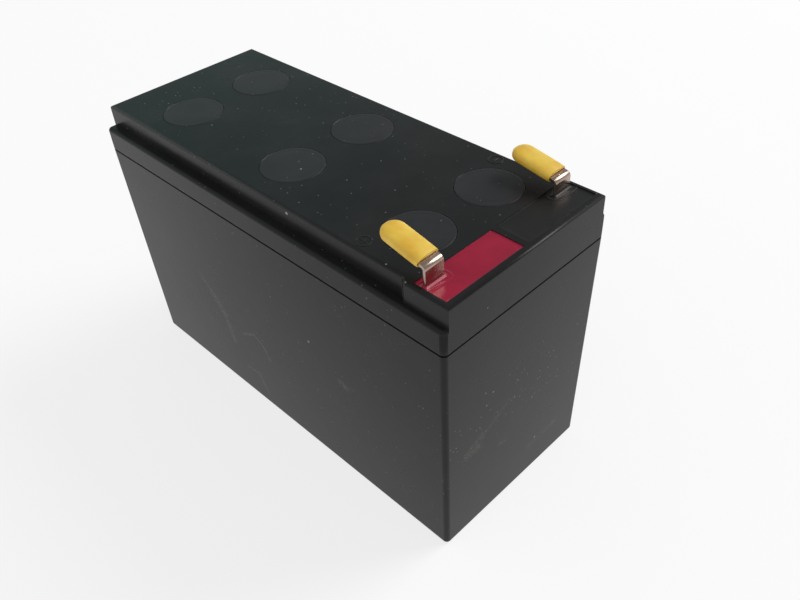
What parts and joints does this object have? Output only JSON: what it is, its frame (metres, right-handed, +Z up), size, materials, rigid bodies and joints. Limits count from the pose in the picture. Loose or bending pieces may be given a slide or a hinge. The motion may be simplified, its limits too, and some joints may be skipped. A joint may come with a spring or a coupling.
{
  "type": "sealed lead acid battery",
  "caption": "Black rectangular sealed lead acid battery with vent covers, a red and a black epoxy well and bent flat terminal tabs under yellow sleeves.",
  "frame": {"origin": "middle of the flat underside, on the surface that it stands on", "axes": "+X along the case towards the terminal end, -Y towards the side with the positive terminal, +Z up"},
  "size_m": [0.151, 0.065, 0.1044],
  "materials": {
    "case_abs": "moulded black ABS, fine texture with a soft sheen",
    "valve_rubber": "moulded black rubber",
    "red_epoxy": "poured red epoxy, glossy",
    "black_epoxy": "poured black epoxy, glossy",
    "tinned_tab": "tin plated brass strip, bright",
    "yellow_vinyl": "dipped soft vinyl, satin",
    "positive_paste": "porous lead dioxide paste on a lead grid",
    "negative_paste": "porous spongy lead on a lead grid",
    "glass_mat": "absorbent glass fibre mat",
    "cast_lead": "cast lead, dull"
  },
  "bodies": {
    "root": {"container": "case_abs", "lid": "case_abs", "vent_cover_1": "case_abs", "vent_cover_2": "case_abs", "vent_cover_3": "case_abs", "vent_cover_4": "case_abs", "vent_cover_5": "case_abs", "vent_cover_6": "case_abs", "valve_cap_1": "valve_rubber", "valve_cap_2": "valve_rubber", "valve_cap_3": "valve_rubber", "valve_cap_4": "valve_rubber", "valve_cap_5": "valve_rubber", "valve_cap_6": "valve_rubber", "positive_seal": "red_epoxy", "negative_seal": "black_epoxy", "positive_terminal": "tinned_tab", "negative_terminal": "tinned_tab", "positive_sleeve": "yellow_vinyl", "negative_sleeve": "yellow_vinyl", "positive_plates_1": "positive_paste", "negative_plates_1": "negative_paste", "separators_1": "glass_mat", "positive_strap_1": "cast_lead", "negative_strap_1": "cast_lead", "positive_plates_2": "positive_paste", "negative_plates_2": "negative_paste", "separators_2": "glass_mat", "positive_strap_2": "cast_lead", "negative_strap_2": "cast_lead", "positive_plates_3": "positive_paste", "negative_plates_3": "negative_paste", "separators_3": "glass_mat", "positive_strap_3": "cast_lead", "negative_strap_3": "cast_lead", "positive_plates_4": "positive_paste", "negative_plates_4": "negative_paste", "separators_4": "glass_mat", "positive_strap_4": "cast_lead", "negative_strap_4": "cast_lead", "positive_plates_5": "positive_paste", "negative_plates_5": "negative_paste", "separators_5": "glass_mat", "positive_strap_5": "cast_lead", "negative_strap_5": "cast_lead", "positive_plates_6": "positive_paste", "negative_plates_6": "negative_paste", "separators_6": "glass_mat", "positive_strap_6": "cast_lead", "negative_strap_6": "cast_lead"}
  },
  "joints": []
}
